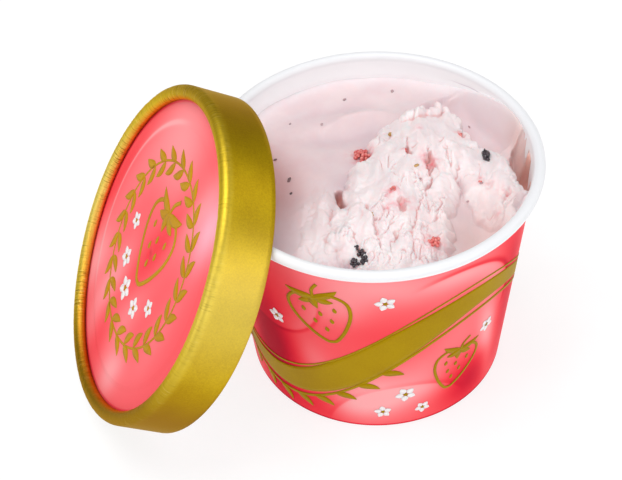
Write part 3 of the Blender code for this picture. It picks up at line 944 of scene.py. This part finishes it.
def crimped(radius, height, turns):
    """The band's section at each angle, pressed in along fine crimps where it is rolled over."""
    out_r, out_z = radius - BEAD[0], height - BEAD[1]
    length = np.maximum(np.hypot(out_r, out_z), 1e-9)
    way = np.arctan2(out_z, out_r)[None, :]
    around = turns[:, None] * (3 * LATTICE) / (2 * math.pi)
    crimps = np.abs(grain(around + 0.5 * way, way * 0.8 + 0 * around, 51))
    strong = 0.35 + smooth_step(grain(around / 16, way * 0.4 + 0 * around, 52), -0.2, 0.4)
    rolled = (height > BEAD[1] - 0.1 * MM) & (np.arange(len(height)) < OUTER_POINTS)
    push = -CRIMP_DEPTH * crimps * strong * np.clip(np.sin(way) + 0.3, 0.0, 1.0) * rolled
    return radius + push * out_r / length, height + push * out_z / length


def lid_rim(gold, white):
    inside = LID_RADIUS - LID_CARD
    lip = LID_RADIUS - 2 * BEAD_ROLL
    profile = arc(BEAD, BEAD_ROLL, 180, 0, 28)
    profile += [(LID_RADIUS, LID_BEVEL), (LID_RADIUS - LID_BEVEL, 0.0)]
    profile += [(inside - LINER_CARD, 0.0), (inside - LINER_CARD, LINER_TOP), (inside, LINER_TOP)]
    profile += arc(BEAD, BEAD_ROLL - LID_CARD, 0, 180, 20)
    profile += [(lip + LID_CARD, BEAD_LIP), (lip, BEAD_LIP)]
    radius, height = np.array(finer(profile, 1.5 * MM, True)).T
    turns = even_turns(RIM_TURNS)
    points = turned_points(*crimped(radius, height, turns), turns) * INSET
    mesh = grid_mesh("lid_rim", points, True, True)
    band = piece("lid_rim", mesh, [gold, white], TO_LID)
    lined = (radius < inside + 0.01 * MM) & (height < BEAD_LIP - 0.4 * MM)
    paint_profile(mesh, RIM_TURNS, lined & np.roll(lined, -1))
    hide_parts("lid_band")


def lid_face(pink, white):
    edge = LID_RADIUS - LID_CARD - 0.3 * MM
    inner = STEP_RADIUS - STEP_WIDTH
    profile = [
        (0.01 * MM, PANEL_TOP + STEP_RISE),
        (inner - 0.4 * MM, PANEL_TOP + STEP_RISE),
        (inner, PANEL_TOP + STEP_RISE * 0.9),
        (STEP_RADIUS, PANEL_TOP + STEP_RISE * 0.1),
        (STEP_RADIUS + 0.4 * MM, PANEL_TOP),
        (edge - LID_CARD, PANEL_TOP),
    ]
    top = finer(profile, 2.0 * MM, False)
    profile = top + [(far, up - 0.5 * MM) for far, up in top[::-1]]
    points = turned_points(*np.array(profile).T, even_turns(PANEL_TURNS))
    mesh = grid_mesh("lid_face", points, True, True)
    panel = piece("lid_face", mesh, [pink, white], TO_LID)
    paint_profile(mesh, PANEL_TURNS, np.arange(len(profile)) >= len(top) - 1)
    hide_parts("lid_panel")


# Bits in the gelato

def gathered(name, shapes):
    """One mesh from (points, faces, material index) lists."""
    points, faces, index = [], [], []
    for part_points, part_faces, material_index in shapes:
        start = len(points)
        points += part_points
        faces += [tuple(start + k for k in face_) for face_ in part_faces]
        index += [material_index] * len(part_faces)
    mesh = smooth_mesh(name, points, faces)
    mesh.polygons.foreach_set("material_index", index)
    return mesh


def lump(centre, size, turn_deg, seed, uneven, material_index=0, level=3):
    """A small uneven ball: centre and half sizes in millimetres, turned about Z."""
    shape = bmesh.new()
    bmesh.ops.create_icosphere(shape, subdivisions=level, radius=1.0)
    spin = Matrix.Rotation(math.radians(turn_deg), 3, "Z")
    points = []
    for vert in shape.verts:
        where = vert.co + Vector((seed * 3.7, seed * 1.3, 0.0))
        push = noise.noise(where * 1.6) + 0.5 * noise.noise(where * 3.7)
        out = vert.co * (1 + uneven * push)
        local = spin @ Vector((out.x * size[0], out.y * size[1], out.z * size[2]))
        points.append((local + Vector(centre)) * MM + AXIS)
    faces = [tuple(v.index for v in face_.verts) for face_ in shape.faces]
    shape.free()
    return [tuple(point) for point in points], faces, material_index


def height_at(x, y):
    """The height of the gelato's face at one point, all in millimetres."""
    return float(gelato_height(np.array([x * MM]), np.array([y * MM]))[0][0]) / MM


def cluster(x, y, reach, count, grain_size, sink, seed):
    """A knot of small round drupelets, half sunk in the gelato."""
    random = np.random.default_rng(seed)
    base = height_at(x, y) - sink
    made = []
    for k in range(count):
        out = reach * math.sqrt((k + 0.3) / count)
        way = k * 2.4 + random.uniform(-0.3, 0.3)
        rise = 0.55 * math.sqrt(max(0.0, reach * reach - out * out)) + random.uniform(-0.1, 0.15)
        size = grain_size * random.uniform(0.8, 1.2)
        centre = (x + out * math.cos(way), y + out * math.sin(way), base + rise)
        made.append(lump(centre, (size, size, size * 0.95), 0.0, seed + k, 0.12, level=2))
    return made


def knots(spots, first_seed):
    """The clusters at the given spots, in one list."""
    groups = []
    for k, spot in enumerate(spots):
        groups += cluster(*spot, first_seed + 20 * k)
    return groups


def scattered(name, groups, materials):
    """One piece of small bits, in place of those that the CAD joins to the gelato."""
    made = piece(name, gathered(name, groups), materials)
    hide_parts("gelato")


# Fruit: x, y, reach, count, grain size, sink
FRUIT = [
    (-1.2, 6.6, 1.75, 16, 0.5, 0.1), (5.7, -27.5, 1.35, 12, 0.44, 0.25), (1.3, -11.4, 0.6, 5, 0.3, 0.1),
    (7.3, 1, 0.45, 3, 0.32, 0.1), (21.3, 5, 0.6, 4, 0.32, 0.15), (20.8, -11.6, 0.4, 3, 0.26, 0.1),
]
# Dark chips: x, y, reach, count, grain size, sink
DARK = [
    (-11.7, -27.7, 1.15, 9, 0.43, 0), (-9.5, -28, 1, 8, 0.44, 0), (-9.8, -25.9, 0.8, 6, 0.41, 0),
    (-10.4, -24.4, 0.45, 3, 0.34, 0.1),
]
# Seeds and specks: x, y, half length, half width, turn, and 0 for pink, 1 for tan or 2 for brown
SEEDS = [
    (8.2, -5.1, 0.55, 0.3, 20, 1), (-4.8, -16.2, 0.6, 0.3, 80, 1), (6.3, 9.9, 0.7, 0.4, 60, 1),
    (11.6, 27.1, 0.42, 0.3, 70, 0), (0.1, 27.4, 0.42, 0.3, 30, 0), (-7.3, 19.4, 0.36, 0.26, 80, 0),
    (-18.6, 3.9, 0.75, 0.3, 60, 2), (-19.2, -0.6, 0.36, 0.24, 40, 2), (-20.1, 11.3, 0.4, 0.26, 20, 2),
    (-14.2, 22.1, 0.3, 0.2, 40, 0), (17.3, -13.9, 0.3, 0.2, 10, 0), (-2.5, -30.2, 0.36, 0.28, 10, 0),
    (8.2, -8.1, 0.28, 0.2, 0, 0), (25.9, 9.6, 0.3, 0.2, 60, 0), (26.8, 14.8, 0.45, 0.2, 100, 0),
    (20.9, -11.9, 0.4, 0.3, 40, 0),
]


def bits():
    fruit = chip_material("fruit_red", (0.66, 0.06, 0.06), (0.90, 0.30, 0.26), 0.28)
    dark = chip_material("dark_chip", (0.012, 0.008, 0.012), (0.05, 0.03, 0.04), 0.25)
    pink = chip_material("seed", (0.40, 0.24, 0.25), (0.56, 0.38, 0.39), 0.4)
    brown = chip_material("brown_seed", (0.10, 0.045, 0.045), (0.20, 0.10, 0.10), 0.35)
    tan = chip_material("tan_seed", (0.42, 0.20, 0.04), (0.62, 0.36, 0.12), 0.4)
    scattered("fruit_bits", knots(FRUIT, 100), [fruit])
    groups = knots(DARK, 300)
    top = height_at(24.4, -4.2)
    groups.append(lump((24.5, -3.9, top + 0.5), (0.75, 1.9, 1.2), -10.0, 7, 0.5))
    groups.append(lump((24.3, -5.4, top + 0.2), (0.6, 0.8, 0.9), 15.0, 9, 0.5))
    scattered("dark_chips", groups, [dark])
    groups = []
    for k, (x, y, length, width, turn_deg, shade) in enumerate(SEEDS):
        centre = (x, y, height_at(x, y) + 0.05)
        groups.append(lump(centre, (1.2 * length, 1.2 * width, 0.2), turn_deg, 40 + k, 0.3, shade, 2))
    scattered("seeds", groups, [pink, tan, brown])


# Artwork: thin shapes laid on the card

# The gold band that waves round the cup
WAVE_LEVEL = 25.0
WAVE_RISE = 14.0
WAVE_WIDTH = 6.4
WAVE_SWELL = 3.0
# The strawberry's right side from its top down, its crown (angle, length, bend) and its seeds
BERRY_SIDE = [(0, 0.4), (0.26, 0.46), (0.45, 0.3), (0.44, 0.02), (0.28, -0.3), (0.1, -0.52)]
BERRY_CROWN = [(162, 0.42, 0.1), (205, 0.3, 0.1), (270, 0.26, -0.1), (335, 0.3, -0.1), (378, 0.42, -0.1)]
BERRY_SEEDS = [(-0.24, 0.14), (0, 0.06), (0.24, 0.14), (-0.13, -0.1), (0.13, -0.1), (0, -0.28)]
# Blossoms: across, up, radius
CUP_BLOSSOMS = [
    (-6.5, 46, 2.3), (-32, 33, 2.2), (-1.5, 12, 2.6), (-7, 6, 2.2), (3, 5.5, 2), (20, 25, 2.2),
]
LID_BLOSSOMS = [
    (-9, -9.5, 2.6), (-2, -13, 3), (6, -11.5, 2.6), (12, -5.5, 2.2), (-13.5, -2, 2.2),
]


def curve(points, count, closed=False):
    """Points along a smooth curve through the given ones."""
    given = np.array(points, dtype=float)
    if closed:
        padded = np.vstack([given[-1:], given, given[:2]])
    else:
        padded = np.vstack([2 * given[:1] - given[1:2], given, 2 * given[-1:] - given[-2:-1]])
    spans = len(padded) - 3
    where = np.linspace(0, spans, count, endpoint=not closed)
    k = np.minimum(where.astype(int), spans - 1)
    t_ = (where - k)[:, None]
    a, b, c, d = padded[k], padded[k + 1], padded[k + 2], padded[k + 3]
    return 0.5 * (
        2 * b + (c - a) * t_ + (2 * a - 5 * b + 4 * c - d) * t_**2 + (3 * b - a - 3 * c + d) * t_**3
    )


def out_from(u, v, radius, way_deg):
    """The point at a distance and an angle from (u, v)."""
    way = math.radians(way_deg)
    return u + radius * math.cos(way), v + radius * math.sin(way)


class Art:
    """Shapes drawn in millimetres across and up a face, gathered into one mesh."""

    def __init__(self, lay):
        self.lay = lay
        self.groups = []

    def ribbon(self, path, widths, material_index=0, closed=False):
        path = np.asarray(path, dtype=float)
        widths = np.broadcast_to(np.asarray(widths, dtype=float), (len(path),))
        ahead = np.roll(path, -1, 0) - np.roll(path, 1, 0) if closed else np.gradient(path, axis=0)
        ahead = ahead / np.maximum(np.hypot(*ahead.T), 1e-9)[:, None]
        sideways = np.stack([-ahead[:, 1], ahead[:, 0]], -1)
        cells = max(2, math.ceil(widths.max() / 1.2))
        step = np.linspace(0.5, -0.5, cells + 1)
        flat = path[:, None] + sideways[:, None] * (widths[:, None] * step)[:, :, None]
        rise = ART_RISE + ART_STEP * (len(self.groups) % ART_LAYERS)
        top = self.lay(flat[..., 0], flat[..., 1], rise)
        bottom = self.lay(flat[:, ::-1, 0], flat[:, ::-1, 1], 0.0)
        points = np.concatenate([top, bottom], 1)
        faces = grid_faces(*points.shape[:2], closed, True)
        self.groups.append((points.reshape(-1, 3).tolist(), faces, material_index))

    def leaf(self, u, v, length, width, turn_deg, material_index=0, bend=0.12):
        turn_ = math.radians(turn_deg)
        t_ = np.linspace(0.0, 1.0, 13)
        along, side = t_ * length, bend * length * np.sin(np.pi * t_)
        path_u = u + along * math.cos(turn_) - side * math.sin(turn_)
        path_v = v + along * math.sin(turn_) + side * math.cos(turn_)
        widths = width * np.sin(np.pi * t_**0.8) ** 0.8 + 0.02
        self.ribbon(np.stack([path_u, path_v], -1), widths, material_index)

    def dot(self, u, v, radius):
        turn_ = np.linspace(math.pi, 0.0, 13)
        path = np.stack([u + radius * np.cos(turn_), np.full(13, float(v))], -1)
        self.ribbon(path, 2 * radius * np.sin(turn_) + 0.02)

    def blossom(self, u, v, radius, turn_deg):
        for k in range(5):
            way = turn_deg + 72 * k
            start = out_from(u, v, 0.22 * radius, way)
            self.leaf(*start, 0.78 * radius, 0.66 * radius, way, 1, 0.0)
        self.dot(u, v, 0.2 * radius)

    def berry(self, u, v, size, turn_deg):
        """A strawberry in outline, with seeds, a crown of leaves and a stalk."""
        turn_ = math.radians(turn_deg)

        def put(a, b):
            return (
                u + size * (a * math.cos(turn_) - b * math.sin(turn_)),
                v + size * (a * math.sin(turn_) + b * math.cos(turn_)),
            )

        outline = BERRY_SIDE + [(0.0, -0.56)] + [(-a, b) for a, b in BERRY_SIDE[:0:-1]]
        path = curve([put(*q) for q in outline], 72, True)
        self.ribbon(path, 0.055 * size, closed=True)
        crown = put(0.0, 0.44)
        for way, length, bend in BERRY_CROWN:
            self.leaf(*crown, length * size, 0.13 * size, way + turn_deg, bend=bend)
        stalk = curve([crown, put(0.03, 0.58), put(0.14, 0.70)], 9)
        self.ribbon(stalk, 0.05 * size)
        for a, b in BERRY_SEEDS:
            self.leaf(*put(a, b - 0.05), 0.11 * size, 0.06 * size, 90 + turn_deg, bend=0.0)

    def made(self, name, materials, slot):
        return piece(name, gathered(name, self.groups), materials)


def wrapped(turn_):
    """An angle from the front as one about the cup's axis, from 0 up to a full turn."""
    return np.mod(turn_ - math.pi / 2, 2 * math.pi)


def lay_on_cup(u, v, rise):
    """Points on the cup's side: u round it from the front, v up it, both in millimetres."""
    turn_ = u / ART_RADIUS
    out = wall_inner(v * MM) / MM + CARD / MM + rise + seam_rise(wrapped(turn_)) / MM
    local = np.stack([out * np.sin(turn_), -out * np.cos(turn_), v], -1) * MM
    return local + np.array(AXIS)


def lay_on_lid(u, v, rise):
    """Points on the lid's panel: u to the viewer's right, v up it, both in millimetres."""
    far = np.hypot(u, v)
    edge = (STEP_RADIUS - STEP_WIDTH) / MM
    step = STEP_RISE / MM * (1 - smooth_step(far, edge, STEP_RADIUS / MM))
    height = PANEL_TOP / MM + step + rise
    local = np.stack([v, -u, height, np.ones_like(u)], -1)
    local[..., :3] *= MM
    return local @ np.array(TO_LID).T[:, :3]


def wave_turn(u):
    return (u + 10.0) / ART_RADIUS * 2


def wave_height(u):
    """Height of the gold band on the cup, which rises and falls twice on the way round."""
    return WAVE_LEVEL + WAVE_RISE * np.sin(wave_turn(u))


def wave_width(u):
    return WAVE_WIDTH + WAVE_SWELL * np.cos(wave_turn(u))


def cup_art(gold_print, white_print):
    art = Art(lay_on_cup)
    u = np.linspace(0.0, 2 * math.pi * ART_RADIUS, 361)
    wide = wave_width(u)
    wave = np.stack([u, wave_height(u)], -1)
    art.ribbon(wave, wide)
    art.ribbon(wave + np.stack([0 * u, -wide / 2 - 1.9], -1), 0.8)
    art.ribbon(wave + np.stack([0 * u, wide / 2 + 1.6], -1), 0.45)
    for shift in (0.0, math.pi * ART_RADIUS):
        for k in range(9):
            at = -52.0 + 5.6 * k
            slope = math.degrees(math.atan(WAVE_RISE / ART_RADIUS * 2 * math.cos(wave_turn(at))))
            foot = float(wave_height(at) - wave_width(at) / 2 - 2.1)
            art.leaf(at + shift, foot, 5.2, 2.0, slope - 48)
        art.berry(shift - 20.0, 39.5, 15.0, 14.0)
        art.berry(shift + 11.0, 17.0, 13.0, -12.0)
        for at, up, size in CUP_BLOSSOMS:
            art.blossom(at + shift, up, size, 17 * at)
    art.made("cup_art", [gold_print, white_print], "printed_card")


def lid_art(gold_print, white_print):
    art = Art(lay_on_lid)
    ring = np.radians(np.arange(0.0, 360.0, 2.5))
    art.ribbon(21.5 * np.stack([np.cos(ring), np.sin(ring)], -1), 0.55, closed=True)
    for k in range(24):
        way = 15.0 * k
        for radius, tilt in ((21.8, 58.0), (21.2, 128.0)):
            art.leaf(*out_from(0.0, 0.0, radius, way), 5.2, 2.1, way + tilt, bend=0.1)
    art.berry(0.0, 3.0, 19.0, 8.0)
    for u, v, size in LID_BLOSSOMS:
        art.blossom(u, v, size, 31 * u)
    art.made("lid_art", [gold_print, white_print], "printed_card")


def studio_floor():
    corners = [(x * FLOOR_HALF, y * FLOOR_HALF, 0) for x, y in ((-1, -1), (1, -1), (1, 1), (-1, 1))]
    mesh = bpy.data.meshes.new("studio_floor")
    mesh.from_pydata(corners, [], [(0, 1, 2, 3)])
    mesh.materials.append(floor_material())
    made = placed("studio_floor", mesh, scene.collection)
    made.location.z = -0.1 * MM


white = white_card()
cup_side(white, cup_print())
gold, pink, plain = gold_card(), panel_print(), plain_card()
lid_rim(gold, plain)
lid_face(pink, plain)
gelato_piece()
bits()
white_print = printed_white()
cup_art(printed_gold("cup_gold", (0.36, 0.21, 0.0), (0.44, 0.28, 0.0)), white_print)
lid_art(printed_gold("lid_gold", (0.50, 0.25, 0.005), (0.60, 0.32, 0.01)), white_print)
floor_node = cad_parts["cup_floor"]
floor_node.data.materials.clear()
floor_node.data.materials.append(white)
studio_floor()
